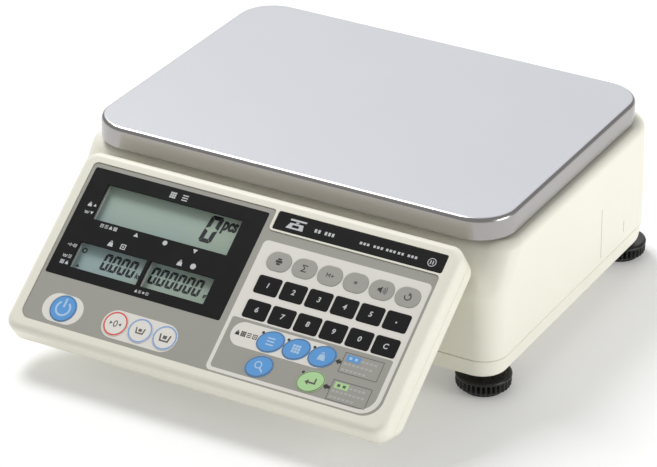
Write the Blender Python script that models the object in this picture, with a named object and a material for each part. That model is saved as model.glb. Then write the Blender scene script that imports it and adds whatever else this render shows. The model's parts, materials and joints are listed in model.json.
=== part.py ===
"""Counting scale: a bench scale with a stainless pan, a two-shell base on levelling feet, and a tilted
console with three displays and a keypad.

Metres, +Z up. +X is the user's right, -Y is the front, where the console is. The origin lies on the
surface that the scale stands on, under the middle of its bounding box.
"""

import math

import bmesh
import bpy
from mathutils import Vector

GAP = 0.0003  # between touching pieces
SINK_ROOM = 0.0006  # under the pan support, whose load cell bends by 0.0005 but is one rigid solid

# ---- driving dimensions -------------------------------------------------------------------------------
WIDTH = 0.315
DEPTH = 0.355
HEIGHT = 0.121
WALL = 0.0025  # thickness of the plastic shells

# Pan
PAN_SIZE = (0.300, 0.225)
PAN_Y = 0.0559
PAN_CORNER = 0.027
PAN_EDGE = 0.003
PAN_RIM = 0.015
PAN_SHEET = 0.001

# Base
CASE_FRONT = -0.069
CASE_REAR = DEPTH / 2
CASE_BOTTOM = 0.0176
PARTING = 0.030
CASE_TOP = 0.1035
CASE_DRAFT = 0.0013  # how much narrower each side is at the top than at the parting line
FRONT_BEND = 0.076  # height where the front wall starts to lean back
FRONT_LEAN = 0.021  # how far it has leaned back at the top
FRONT_CORNER = 0.017
REAR_CORNER = 0.032
TOP_EDGE = 0.005
LOWER_TAPER = 0.0015

# Feet
FOOT_X = 0.1393
FOOT_FRONT_Y = -0.0476
FOOT_REAR_Y = 0.1579
FOOT_RADIUS = 0.0182
FOOT_TOP = 0.0122
PAD_TOP = 0.0020
STUD_RADIUS = 0.0040
STUD_TOP = 0.0380
BOSS_RADIUS = 0.0075
BOSS_TOP = 0.0290

# Console. Its own axes: x as the scale's, y up the slope, z out of the face. The origin is on the face,
# 1.6 mm below the console's top edge.
CONSOLE_TILT = math.radians(36.45)
CONSOLE_Y = -0.0738
CONSOLE_Z = 0.1100
CONSOLE_HALF = 0.1371
CONSOLE_HIGH = 0.0016
CONSOLE_LOW = -0.1315
CONSOLE_CORNER = 0.010
CONSOLE_EDGE = 0.005
CONSOLE_PARTING = -0.0135
CONSOLE_BACK = -0.0250
CONSOLE_BACK_LOW = -0.1240  # the rear shell's lower wall slopes up to here
RECESS = -0.0025  # floor of the overlay's recess
OVERLAY_FACE = -0.0006
OVERLAY_BACK = -0.0022
KEY_FACE = -0.0002
KEY_BACK = -0.0072
SHELL_FLOOR = -0.0050  # the front shell's inside, behind its face
KEY_ROUND = 0.0003
KEY_CLEAR = 0.00035
BOARD_FACE = -0.0080
BOARD_BACK = -0.0096
LCD_FACE = -0.0054
LCD_BACK = -0.0077

# Keypad grid, in the console's axes
GRID_X = 0.0238
GRID_Y = -0.0403
PITCH_X = 0.0181
PITCH_Y = 0.01745
BLACK_KEY = (0.0161, 0.0122)
GREY_KEY = (0.0165, 0.0130)
OVAL_KEY = (0.0184, 0.0140)
OVAL_LEAN = math.radians(24)
ROUND_KEY_Y = -0.1095
ROUND_KEYS = {"key_zero": -0.0622, "key_tare_set": -0.0441, "key_tare": -0.0261}
ROUND_RADIUS = 0.0084
POWER_X = -0.1013
POWER_RADIUS = 0.0091

# Overlay, window and displays: (left, right, top, bottom) on the face
OVERLAY_BOX = (-0.1281, 0.1281, -0.0070, -0.1220)
NOTCH_X = 0.0068
NOTCH_Y = -0.0214
WINDOW_BOX = (-0.1257, 0.0031, -0.0102, -0.0884)
PLATE_BOX = (0.0092, 0.1283, -0.0070, -0.0196)
COUNT_OPENING = (-0.1120, -0.0120, -0.0197, -0.0454)
WEIGHT_OPENING = (-0.1118, -0.0617, -0.0624, -0.0810)
UNIT_OPENING = (-0.0592, -0.0122, -0.0624, -0.0810)

# Neck between the console and the base
NECK_HALF = 0.060
NECK_LOW = 0.042
NECK_HIGH = 0.080
DUCT = (0.020, 0.050, 0.066)  # half width, low, high

# Weighing parts
CELL_SIZE = (0.130, 0.026, 0.024)
CELL_BOTTOM = 0.056
SUPPORT_LOW = 0.1070
SUPPORT_HIGH = 0.1140
ARM_REACH = (0.105, 0.075)
POST_X = (0.028, 0.062)
TOP_OPENING = (0.020, 0.070, 0.038, 0.074)
CUSHION_RADIUS = 0.009
BATTERY_BOX = ((0.066, 0.050, 0.0206), (0.113, 0.151, 0.0906))
COVER_BOX = (0.060, 0.119, 0.044, 0.157)
SIDE_COVER = (0.0859, 0.1219, 0.0345, 0.0700)
SIDE_COVER_DEEP = 0.0013
JACK = (-0.090, 0.0500)
LEVEL = (-0.120, -0.015)
LEVEL_RADIUS = 0.007


# ---- scene and materials ------------------------------------------------------------------------------
def clear_scene():
    for obj in list(bpy.data.objects):
        bpy.data.objects.remove(obj, do_unlink=True)


MATERIALS = {
    "stainless": ((0.62, 0.64, 0.67), 0.28, 1.0),
    "cream_plastic": ((0.90, 0.88, 0.78), 0.50, 0.0),
    "black_plastic": ((0.012, 0.012, 0.013), 0.45, 0.0),
    "rubber": ((0.02, 0.02, 0.02), 0.80, 0.0),
    "aluminium": ((0.60, 0.61, 0.62), 0.40, 1.0),
    "overlay_grey": ((0.36, 0.35, 0.32), 0.45, 0.0),
    "window_black": ((0.010, 0.010, 0.011), 0.20, 0.0),
    "lcd_glass": ((0.36, 0.45, 0.37), 0.25, 0.0),
    "circuit_board": ((0.02, 0.15, 0.06), 0.50, 0.0),
    "battery_case": ((0.05, 0.05, 0.06), 0.50, 0.0),
    "key_black": ((0.016, 0.016, 0.017), 0.40, 0.0),
    "key_grey": ((0.37, 0.35, 0.33), 0.45, 0.0),
    "key_blue": ((0.08, 0.31, 0.68), 0.40, 0.0),
    "key_green": ((0.46, 0.73, 0.36), 0.40, 0.0),
    "key_light": ((0.66, 0.65, 0.62), 0.45, 0.0),
    "level_glass": ((0.45, 0.70, 0.15), 0.10, 0.0),
}


def material(name):
    if name in bpy.data.materials:
        return bpy.data.materials[name]
    colour, roughness, metallic = MATERIALS[name]
    made = bpy.data.materials.new(name)
    made.use_nodes = True
    shader = made.node_tree.nodes["Principled BSDF"]
    shader.inputs["Base Color"].default_value = (*colour, 1.0)
    shader.inputs["Roughness"].default_value = roughness
    shader.inputs["Metallic"].default_value = metallic
    return made


# ---- outlines -----------------------------------------------------------------------------------------
def arc(centre, radius, start, end, steps):
    """Points on a circle from angle start to end, both in degrees and both included."""
    angles = [math.radians(start + (end - start) * i / steps) for i in range(steps + 1)]
    return [(centre[0] + radius * math.cos(a), centre[1] + radius * math.sin(a)) for a in angles]


def rounded_box(left, right, low, high, radii, steps=4):
    """Anticlockwise outline of a box. radii is one number, or one each for low right, high right, high
    left and low left."""
    if not isinstance(radii, tuple):
        radii = (radii,) * 4
    corners = ((right, low, -90), (right, high, 0), (left, high, 90), (left, low, 180))
    outline = []
    for (x, y, start), radius in zip(corners, radii):
        centre = (x - math.copysign(radius, x - (left + right) / 2),
                  y - math.copysign(radius, y - (low + high) / 2))
        outline += arc(centre, radius, start, start + 90, steps)
    return outline


def face_box(box, radii, steps=4, grow=0.0):
    """Outline of a (left, right, top, bottom) box on the console's face."""
    left, right, top, bottom = box
    return rounded_box(left - grow, right + grow, bottom - grow, top + grow, radii, steps)


def ellipse(centre, size, lean=0.0, steps=20, grow=0.0):
    outline = []
    for i in range(steps):
        angle = 2 * math.pi * i / steps
        x = (size[0] / 2 + grow) * math.cos(angle)
        y = (size[1] / 2 + grow) * math.sin(angle)
        outline.append((centre[0] + x * math.cos(lean) - y * math.sin(lean),
                        centre[1] + x * math.sin(lean) + y * math.cos(lean)))
    return outline


def at(outline, z):
    return [(x, y, z) for x, y in outline]


# ---- solids -------------------------------------------------------------------------------------------
def new_object(name, data, slot, parent=None):
    obj = bpy.data.objects.new(name, data)
    bpy.context.collection.objects.link(obj)
    if slot:
        data.materials.append(material(slot))
    obj.parent = parent
    return obj


def smooth(obj, angle=35):
    obj.data.shade_smooth()
    obj.data.set_sharp_from_angle(angle=math.radians(angle))


def loft(name, loops, slot=None, parent=None):
    """A closed solid through loops of equal length, with a cap on the first and on the last."""
    mesh = bmesh.new()
    rings = [[mesh.verts.new(point) for point in loop] for loop in loops]
    count = len(rings[0])
    for upper, lower in zip(rings, rings[1:]):
        for i in range(count):
            j = (i + 1) % count
            mesh.faces.new((upper[i], lower[i], lower[j], upper[j]))
    mesh.faces.new(rings[0])
    mesh.faces.new(list(reversed(rings[-1])))
    bmesh.ops.recalc_face_normals(mesh, faces=mesh.faces)
    data = bpy.data.meshes.new(name)
    mesh.to_mesh(data)
    mesh.free()
    obj = new_object(name, data, slot, parent)
    smooth(obj)
    return obj


def prism(name, outline, low, high, slot=None, parent=None):
    return loft(name, [at(outline, high), at(outline, low)], slot, parent)


def block(name, low, high, slot=None, parent=None):
    outline = [(low[0], low[1]), (high[0], low[1]), (high[0], high[1]), (low[0], high[1])]
    return prism(name, outline, low[2], high[2], slot, parent)


def turned(name, profile, place, slot, parent=None, steps=24):
    """A solid of revolution about +Z. The profile runs from the axis at the top to the axis at the bottom."""
    loops = []
    for radius, z in profile:
        loops.append(at(ellipse((0, 0), (2 * radius, 2 * radius), 0.0, steps), z))
    obj = loft(name, loops, slot, parent)
    obj.location = place
    return obj


def combine(obj, other, operation):
    other.hide_render = True
    other.display_type = "WIRE"
    change = obj.modifiers.new(f"{operation.title()} {other.name}", "BOOLEAN")
    change.object = other
    change.operation = operation
    change.solver = "EXACT"


def cut(obj, other):
    combine(obj, other, "DIFFERENCE")


def join(obj, other):
    combine(obj, other, "UNION")


# ---- pan and weighing parts -----------------------------------------------------------------------------
def pan_outline(inset):
    half_x = PAN_SIZE[0] / 2 - inset
    half_y = PAN_SIZE[1] / 2 - inset
    return rounded_box(-half_x, half_x, PAN_Y - half_y, PAN_Y + half_y, PAN_CORNER - inset, 7)


def weighing_pan(parent):
    """Sheet folded down all round: outside from the top face to the rim's edge, then inside back up."""
    outer = []
    for x, y in arc((PAN_EDGE, -PAN_EDGE), PAN_EDGE, 90, 180, 4):
        outer.append(at(pan_outline(x), HEIGHT + y))
    bottom = HEIGHT - PAN_RIM
    outer.append(at(pan_outline(0), bottom))
    inner_edge = PAN_EDGE - PAN_SHEET
    inner = [at(pan_outline(PAN_SHEET), bottom)]
    for x, y in arc((PAN_EDGE, -PAN_EDGE), inner_edge, 180, 90, 3):
        inner.append(at(pan_outline(x), HEIGHT + y))
    return loft("weighing_pan", outer + inner, "stainless", parent)


def cushion_places():
    for side, x in (("left", -1), ("right", 1)):
        for end, y in (("front", -1), ("rear", 1)):
            yield f"{end}_{side}", x * ARM_REACH[0], PAN_Y + y * ARM_REACH[1]


def pan_support(parent):
    """A hub with four arms over the base's top, and a post that goes down to the load cell's free end."""
    hub = prism("pan_support", rounded_box(-0.045, 0.070, PAN_Y - 0.030, PAN_Y + 0.030, 0.008, 3),
                SUPPORT_LOW, SUPPORT_HIGH, "aluminium", parent)
    for name, x, y in cushion_places():
        toward = Vector((x, y - PAN_Y)).normalized()
        across = Vector((-toward.y, toward.x))
        root = Vector((0.020 * math.copysign(1, x), PAN_Y))
        tip = Vector((x, y))
        corners = (root - across * 0.013, tip - across * 0.009, tip + across * 0.009, root + across * 0.013)
        arm = prism(f"arm_{name}", [tuple(p) for p in corners], SUPPORT_LOW + 0.0006, SUPPORT_HIGH - 0.0006)
        disc = ((0.011, SUPPORT_HIGH), (0.011, SUPPORT_LOW))
        pad = turned(f"arm_pad_{name}", disc, (x, y, 0), None, None, 16)
        join(hub, arm)
        join(hub, pad)
    post = block("support_post", (POST_X[0], PAN_Y - 0.012, CELL_BOTTOM + CELL_SIZE[2] + SINK_ROOM),
                 (POST_X[1], PAN_Y + 0.012, SUPPORT_LOW + 0.002))
    join(hub, post)
    return hub


def pan_cushions(parent):
    """Rubber buttons between the support's arms and the pan."""
    low = SUPPORT_HIGH + GAP
    high = HEIGHT - PAN_SHEET - GAP
    for name, x, y in cushion_places():
        profile = ((0.006, high), (CUSHION_RADIUS, high - 0.0015), (CUSHION_RADIUS, low))
        turned(f"pan_cushion_{name}", profile, (x, y, 0), "rubber", parent, 16)


def load_cell():
    """A bar with two joined holes across it, which leave four thin flexures."""
    half = CELL_SIZE[0] / 2
    top = CELL_BOTTOM + CELL_SIZE[2]
    bar = block("load_cell", (-half, PAN_Y - CELL_SIZE[1] / 2, CELL_BOTTOM),
                (half, PAN_Y + CELL_SIZE[1] / 2, top), "aluminium")
    middle = CELL_BOTTOM + CELL_SIZE[2] / 2
    right = arc((0.018, 0), 0.0095, -150, 150, 10)
    left = [(-x, -y) for x, y in right]
    hole = prism("cell_hole", right + left, -CELL_SIZE[1], CELL_SIZE[1])
    hole.location = (0, PAN_Y, middle)
    hole.rotation_euler = (math.radians(90), 0, 0)
    cut(bar, hole)


def base_frame():
    """The cast plate that carries the load cell's fixed end."""
    low = CASE_BOTTOM + WALL + GAP
    plate = prism("base_frame", rounded_box(-0.105, 0.050, PAN_Y - 0.050, PAN_Y + 0.050, 0.010, 3),
                  low, low + 0.005, "aluminium")
    pedestal = block("pedestal", (-0.063, PAN_Y - 0.015, low + 0.002),
                     (-0.027, PAN_Y + 0.015, CELL_BOTTOM - GAP))
    join(plate, pedestal)
    for side in (-1, 1):
        rib = block(f"frame_rib_{side}", (-0.100, PAN_Y + side * 0.038 - 0.002, low + 0.002),
                    (0.045, PAN_Y + side * 0.038 + 0.002, low + 0.013))
        join(plate, rib)


# ---- base ---------------------------------------------------------------------------------------------
def case_front(z):
    """Where the front wall is at height z: upright up to the bend, then leaning back."""
    bend_half = 0.004
    above = z - FRONT_BEND
    slope = FRONT_LEAN / (CASE_TOP - FRONT_BEND)
    if above <= -bend_half:
        lean = 0.0
    elif above < bend_half:
        lean = slope * (above + bend_half) ** 2 / (4 * bend_half)
    else:
        lean = slope * above
    return CASE_FRONT + lean


def case_outline(z, inset, steps=5):
    """The base's outline at height z, moved inwards by inset."""
    if z >= PARTING:
        taper = CASE_DRAFT * (z - PARTING) / (CASE_TOP - PARTING)
    else:
        taper = LOWER_TAPER * (PARTING - z) / (PARTING - CASE_BOTTOM)
    half = WIDTH / 2 - taper - inset
    front = case_front(z) + taper + inset
    rear = CASE_REAR - taper - inset
    front_corner = max(FRONT_CORNER - inset, 0.001)
    rear_corner = max(REAR_CORNER - inset, 0.001)
    radii = (front_corner, rear_corner, rear_corner, front_corner)
    return rounded_box(-half, half, front, rear, radii, steps)


def upper_case():
    outer = []
    for x, y in arc((TOP_EDGE, -TOP_EDGE), TOP_EDGE, 90, 180, 4):
        outer.append(at(case_outline(CASE_TOP + y, x), CASE_TOP + y))
    for z in (FRONT_BEND + 0.004, FRONT_BEND, FRONT_BEND - 0.004, PARTING):
        outer.append(at(case_outline(z, 0), z))
    inner = []
    for z in (PARTING, FRONT_BEND - 0.004, FRONT_BEND + 0.004, CASE_TOP - WALL):
        inner.append(at(case_outline(z, WALL), z))
    case = loft("upper_case", outer + inner, "cream_plastic")
    left, right, low, high = TOP_OPENING
    cut(case, prism("top_opening", rounded_box(left, right, low, high, 0.004, 3), 0.090, 0.110))
    cut(case, block("cable_opening", (-DUCT[0], CASE_FRONT - 0.010, DUCT[1]),
                    (DUCT[0], CASE_FRONT + 0.010, DUCT[2])))
    cut(case, side_cover_blank("side_recess", 0.0004, SIDE_COVER_DEEP + GAP, 0.010))
    cut(case, block("jack_opening", (JACK[0] - 0.0074, CASE_REAR - 0.010, JACK[1] - 0.0059),
                    (JACK[0] + 0.0074, CASE_REAR + 0.010, JACK[1] + 0.0059)))
    hole = turned("level_opening", ((LEVEL_RADIUS + 0.0004, 0.110), (LEVEL_RADIUS + 0.0004, 0.095)),
                  (LEVEL[0], LEVEL[1], 0), None, None, 20)
    cut(case, hole)


def side_wall_x(z):
    return WIDTH / 2 - CASE_DRAFT * (z - PARTING) / (CASE_TOP - PARTING)


def side_cover_blank(name, grow, deep, proud):
    """A slab along the right wall, which leans in with it: deep below the wall's surface and proud of it."""
    front, rear, low, high = SIDE_COVER
    loops = []
    for z in (high + grow, low - grow):
        x = side_wall_x(z)
        loops.append([(x - deep, front - grow, z), (x + proud, front - grow, z),
                      (x + proud, rear + grow, z), (x - deep, rear + grow, z)])
    return loft(name, loops)


def side_cover():
    cover = side_cover_blank("side_cover", 0.0, SIDE_COVER_DEEP, 0.0)
    cover.data.materials.append(material("cream_plastic"))


def lower_case():
    """A tray: outside from its top edge down and across the bottom, then inside back up."""
    top = PARTING - GAP
    edge = 0.002
    outer = [at(case_outline(top, 0), top), at(case_outline(CASE_BOTTOM + edge, 0), CASE_BOTTOM + edge)]
    outer.append(at(case_outline(CASE_BOTTOM, edge), CASE_BOTTOM))
    inner = [at(case_outline(top, WALL), top), at(case_outline(CASE_BOTTOM + WALL, WALL), CASE_BOTTOM + WALL)]
    case = loft("lower_case", list(reversed(inner)) + outer, "cream_plastic")
    for name, x, y in foot_places():
        boss = turned(f"boss_{name}", ((BOSS_RADIUS, BOSS_TOP), (BOSS_RADIUS, CASE_BOTTOM + 0.001)),
                      (x, y, 0), None, None, 20)
        join(case, boss)
        hole = turned(f"stud_hole_{name}", ((STUD_RADIUS + 0.0003, 0.045), (STUD_RADIUS + 0.0003, 0.005)),
                      (x, y, 0), None, None, 20)
        cut(case, hole)
    for x, y in board_posts():
        post = turned(f"board_post_{x:.3f}_{y:.3f}", ((0.003, 0.0287), (0.003, CASE_BOTTOM + 0.001)),
                      (x, y, 0), None, None, 10)
        join(case, post)
    left, right, low, high = COVER_BOX
    cut(case, prism("battery_opening", rounded_box(left, right, low, high, 0.004, 3), 0.010, 0.0245))


def battery_cover():
    left, right, low, high = COVER_BOX
    clear = 0.0004
    outline = rounded_box(left + clear, right - clear, low + clear, high - clear, 0.0036, 3)
    prism("battery_cover", outline, CASE_BOTTOM, CASE_BOTTOM + WALL, "cream_plastic")


def battery():
    low, high = BATTERY_BOX
    case = block("battery", low, (high[0], high[1], high[2] - 0.006), "battery_case")
    lid = block("battery_lid", (low[0] + 0.002, low[1] + 0.002, high[2] - 0.008),
                (high[0] - 0.002, high[1] - 0.002, high[2] - 0.004))
    join(case, lid)
    for offset in (0.012, 0.030):
        tab = block(f"battery_tab_{offset:.3f}", (low[0] + offset, low[1] + 0.008, high[2] - 0.006),
                    (low[0] + offset + 0.0048, low[1] + 0.009, high[2]))
        join(case, tab)


def board_posts():
    return [(x, y) for x in (-0.124, -0.038) for y in (-0.050, -0.006)]


def main_board():
    """The weighing and power board on its four posts, with its larger components."""
    low = 0.0290
    top = low + 0.0016
    outline = rounded_box(-0.129, -0.033, -0.0555, -0.0005, 0.002, 2)
    board = prism("main_board", outline, low, top, "circuit_board")
    for i, (x, y, width, length, tall) in enumerate((
            (-0.106, -0.040, 0.018, 0.014, 0.012), (-0.078, -0.028, 0.014, 0.014, 0.003),
            (-0.056, -0.016, 0.010, 0.020, 0.008), (-0.052, -0.042, 0.012, 0.008, 0.010))):
        piece = block(f"board_piece_{i}", (x - width / 2, y - length / 2, top - 0.0005),
                      (x + width / 2, y + length / 2, top + tall))
        join(board, piece)


def dc_jack():
    """The adapter socket, flush with the rear wall, with its centre pin."""
    x, z = JACK
    rear = CASE_REAR - 0.0005
    body = block("dc_jack", (x - 0.007, rear - 0.014, z - 0.0055), (x + 0.007, rear, z + 0.0055),
                 "black_plastic")
    bore = turned("jack_bore", ((0.0032, 0.012), (0.0032, -0.010)), (x, rear, z), None, None, 16)
    bore.rotation_euler = (math.radians(-90), 0, 0)
    cut(body, bore)
    pin = turned("jack_pin", ((0.001, -0.001), (0.001, -0.012)), (x, rear, z), None, None, 10)
    pin.rotation_euler = (math.radians(-90), 0, 0)
    join(body, pin)


def spirit_level():
    top = CASE_TOP + 0.0015
    profile = ((LEVEL_RADIUS - 0.002, top), (LEVEL_RADIUS, top - 0.001), (LEVEL_RADIUS, top - 0.009))
    turned("spirit_level", profile, (LEVEL[0], LEVEL[1], 0), "level_glass", None, 20)


# ---- feet ---------------------------------------------------------------------------------------------
def foot_places():
    for side, x in (("left", -FOOT_X), ("right", FOOT_X)):
        for end, y in (("front", FOOT_FRONT_Y), ("rear", FOOT_REAR_Y)):
            yield f"{end}_{side}", x, y


def feet():
    """Each foot is a knob with a threaded stud, over a rubber pad that doesn't turn with it."""
    low = PAD_TOP + GAP
    for name, x, y in foot_places():
        profile = (
            (STUD_RADIUS - 0.001, STUD_TOP), (STUD_RADIUS, STUD_TOP - 0.001), (STUD_RADIUS, FOOT_TOP),
            (FOOT_RADIUS - 0.0022, FOOT_TOP), (FOOT_RADIUS, FOOT_TOP - 0.0018), (FOOT_RADIUS, 0.0062),
            (FOOT_RADIUS - 0.0006, 0.0056), (FOOT_RADIUS - 0.0010, 0.0040), (FOOT_RADIUS - 0.0032, low),
        )
        turned(f"foot_knob_{name}", profile, (x, y, 0), "black_plastic", None, 24)
        pad = ((FOOT_RADIUS - 0.0045, PAD_TOP), (FOOT_RADIUS - 0.0040, 0.0005), (FOOT_RADIUS - 0.0045, 0.0))
        turned(f"foot_pad_{name}", pad, (x, y, 0), "rubber", None, 20)


# ---- console ------------------------------------------------------------------------------------------
def console_axes():
    empty = bpy.data.objects.new("console_axes", None)
    bpy.context.collection.objects.link(empty)
    empty.location = (0, CONSOLE_Y, CONSOLE_Z)
    empty.rotation_euler = (CONSOLE_TILT, 0, 0)
    return empty


def console_outline(inset, low=CONSOLE_LOW):
    half = CONSOLE_HALF - inset
    radius = max(CONSOLE_CORNER - inset, 0.001)
    return rounded_box(-half, half, low + inset, CONSOLE_HIGH - inset, radius, 5)


def console_front_case(axes):
    outer = []
    for x, y in arc((CONSOLE_EDGE, -CONSOLE_EDGE), CONSOLE_EDGE, 90, 180, 4):
        outer.append(at(console_outline(x), y))
    outer.append(at(console_outline(0), CONSOLE_PARTING))
    inner = [at(console_outline(WALL), CONSOLE_PARTING), at(console_outline(WALL), SHELL_FLOOR)]
    case = loft("console_front_case", outer + inner, "cream_plastic", axes)
    recesses = {
        "overlay_recess": (overlay_outline(KEY_CLEAR), RECESS),
        "plate_recess": (face_box(PLATE_BOX, 0.0015, 3, 0.0003), -0.0015),
    }
    openings = {
        "display_opening": (-0.1215, -0.0010, -0.0140, -0.0850),
        "keypad_opening": (0.0130, 0.1240, -0.0320, -0.1187),
        "left_keys_opening": (-0.1125, -0.0155, -0.0990, -0.1196),
    }
    for name, (outline, depth) in recesses.items():
        cut(case, prism(name, outline, depth, 0.004, None, axes))
    for name, box in openings.items():
        cut(case, prism(name, face_box(box, 0.003, 2), -0.010, 0.003, None, axes))


def console_rear_case(axes):
    """The rear shell, with the neck that joins the console to the base."""
    top = CONSOLE_PARTING - GAP
    edge = 0.003
    outer = [at(console_outline(0), top), at(console_outline(0, CONSOLE_BACK_LOW), CONSOLE_BACK + edge)]
    outer.append(at(console_outline(edge, CONSOLE_BACK_LOW), CONSOLE_BACK))
    inner = [at(console_outline(WALL), top), at(console_outline(WALL, CONSOLE_BACK_LOW), CONSOLE_BACK + WALL)]
    case = loft("console_rear_case", list(reversed(inner)) + outer, "cream_plastic", axes)
    join(case, neck())
    cut(case, block("console_duct", (-DUCT[0], -0.140, DUCT[1]), (DUCT[0], -0.060, DUCT[2])))


def neck():
    """A wedge from inside the rear shell's back wall to the base's front wall, as a prism along X."""
    back = CASE_FRONT - 0.0004
    depth = CONSOLE_BACK + 0.001
    side = [(back, NECK_LOW), (back, NECK_HIGH - 0.003)]
    for z in (NECK_HIGH, NECK_LOW):
        down = (CONSOLE_Z + depth * math.cos(CONSOLE_TILT) - z) / math.sin(CONSOLE_TILT)
        side.append((CONSOLE_Y - depth * math.sin(CONSOLE_TILT) - down * math.cos(CONSOLE_TILT), z))
    loops = [[(x, y, z) for y, z in side] for x in (-NECK_HALF, NECK_HALF)]
    return loft("neck", loops)


def overlay_outline(grow=0.0):
    """The film's L shape, anticlockwise, with its notch at the top right for the name plate."""
    left, right, top, bottom = OVERLAY_BOX
    g = grow
    outline = arc((right - 0.012, bottom + 0.012), 0.012 + g, -90, 0, 5)
    outline += arc((right - 0.003, NOTCH_Y - 0.003), 0.003 + g, 0, 90, 3)
    outline += arc((NOTCH_X + 0.003, NOTCH_Y + 0.003), 0.003 - g, 270, 180, 3)
    outline += arc((NOTCH_X - 0.002, top - 0.002), 0.002 + g, 0, 90, 3)
    outline += arc((left + 0.003, top - 0.003), 0.003 + g, 90, 180, 3)
    outline += arc((left + 0.007, bottom + 0.007), 0.007 + g, 180, 270, 4)
    return outline


def flat_piece(name, outlines, low, high, slot, axes):
    """A plate with holes: a filled curve whose first outline is its edge and whose others are holes."""
    curve = bpy.data.curves.new(name, "CURVE")
    curve.dimensions = "2D"
    curve.fill_mode = "BOTH"
    curve.extrude = (high - low) / 2
    for outline in outlines:
        spline = curve.splines.new("POLY")
        spline.points.add(len(outline) - 1)
        for point, (x, y) in zip(spline.points, outline):
            point.co = (x, y, 0, 1)
        spline.use_cyclic_u = True
    obj = new_object(name, curve, slot, axes)
    obj.location = (0, 0, (low + high) / 2)
    return obj


def keypad_overlay(axes):
    holes = [face_box(WINDOW_BOX, 0.0015, 3, GAP)]
    holes += [key[2](KEY_CLEAR) for key in keys()]
    flat_piece("keypad_overlay", [overlay_outline()] + holes, OVERLAY_BACK, OVERLAY_FACE,
               "overlay_grey", axes)


def display_parts(axes):
    openings = [face_box(box, 0.0006, 2) for box in (COUNT_OPENING, WEIGHT_OPENING, UNIT_OPENING)]
    flat_piece("display_window", [face_box(WINDOW_BOX, 0.0012, 3)] + openings,
               OVERLAY_BACK, OVERLAY_FACE + 0.0001, "window_black", axes)
    prism("name_plate", face_box(PLATE_BOX, 0.0012, 3), -0.0012, -0.0004, "window_black", axes)
    panels = {
        "count_lcd": (-0.1165, -0.0085, -0.0155, -0.0500),
        "weight_lcd": (-0.1165, -0.0610, -0.0585, -0.0840),
        "unit_weight_lcd": (-0.0605, -0.0085, -0.0585, -0.0840),
    }
    for name, box in panels.items():
        prism(name, face_box(box, 0.0005, 1), LCD_BACK, LCD_FACE, "lcd_glass", axes)
    board = (-0.1300, 0.1300, -0.0080, -0.1240)
    prism("display_board", face_box(board, 0.002, 2), BOARD_BACK, BOARD_FACE, "circuit_board", axes)


def grid(column, row):
    return (GRID_X + column * PITCH_X, GRID_Y - row * PITCH_Y)


def boxed(centre, size, radius, steps):
    """An outline of a rounded rectangle about a centre, as a function of how much it grows."""
    x, y = centre
    return lambda grow: rounded_box(x - size[0] / 2 - grow, x + size[0] / 2 + grow, y - size[1] / 2 - grow,
                                    y + size[1] / 2 + grow, radius + grow, steps)


def oval(centre, size, lean, steps=20):
    return lambda grow: ellipse(centre, size, lean, steps, grow)


def keys():
    """Each key's name, material and outline."""
    for column, name in enumerate(("print", "total", "memory_plus", "star", "sound", "reset")):
        yield f"key_{name}", "key_grey", boxed(grid(column, 0), GREY_KEY, 0.0062, 4)
    for row, names in enumerate((("1", "2", "3", "4", "5", "point"), ("6", "7", "8", "9", "0", "clear"))):
        for column, name in enumerate(names):
            yield f"key_{name}", "key_black", boxed(grid(column, row + 1), BLACK_KEY, 0.0015, 2)
    blue = ((1, 3, "unit_input"), (2, 3, "sample_input"), (3, 3, "unit_weight"), (1, 4, "lookup"))
    for column, row, name in blue:
        yield f"key_{name}", "key_blue", oval(grid(column, row), OVAL_KEY, OVAL_LEAN)
    yield "key_enter", "key_green", oval(grid(3, 4), OVAL_KEY, OVAL_LEAN)
    power = (2 * POWER_RADIUS, 2 * POWER_RADIUS)
    yield "key_power", "key_blue", oval((POWER_X, ROUND_KEY_Y), power, 0.0)
    for name, x in ROUND_KEYS.items():
        yield name, "key_light", oval((x, ROUND_KEY_Y), (2 * ROUND_RADIUS, 2 * ROUND_RADIUS), 0.0)


def make_keys(axes):
    """Each key stands through the overlay, a little proud of it, and its back is just over the board."""
    for name, slot, outline in keys():
        shoulder = KEY_FACE - KEY_ROUND
        loops = [at(outline(-KEY_ROUND), KEY_FACE), at(outline(0), shoulder), at(outline(0), KEY_BACK)]
        loft(name, loops, slot, axes)


# ---- the scale ----------------------------------------------------------------------------------------
def platform_axes():
    empty = bpy.data.objects.new("platform_axes", None)
    bpy.context.collection.objects.link(empty)
    return empty


def main():
    clear_scene()
    platform = platform_axes()
    weighing_pan(platform)
    pan_support(platform)
    pan_cushions(platform)
    load_cell()
    base_frame()
    upper_case()
    side_cover()
    lower_case()
    battery()
    battery_cover()
    main_board()
    dc_jack()
    spirit_level()
    feet()
    axes = console_axes()
    console_front_case(axes)
    console_rear_case(axes)
    keypad_overlay(axes)
    display_parts(axes)
    make_keys(axes)


main()
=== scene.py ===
"""Counting scale, as it looks: a stainless pan, cream plastic shells, a tilted console with three
displays and a keypad, and ribbed levelling feet.

Shapes are in millimetres. The base is drawn in the frame's own axes. The console is drawn in its own: x as
the scale's, y up the slope and z out of the face, from a point on the face just below its top edge.
"""

import json
import math

import bmesh
import bpy
from mathutils import Matrix, Vector


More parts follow.
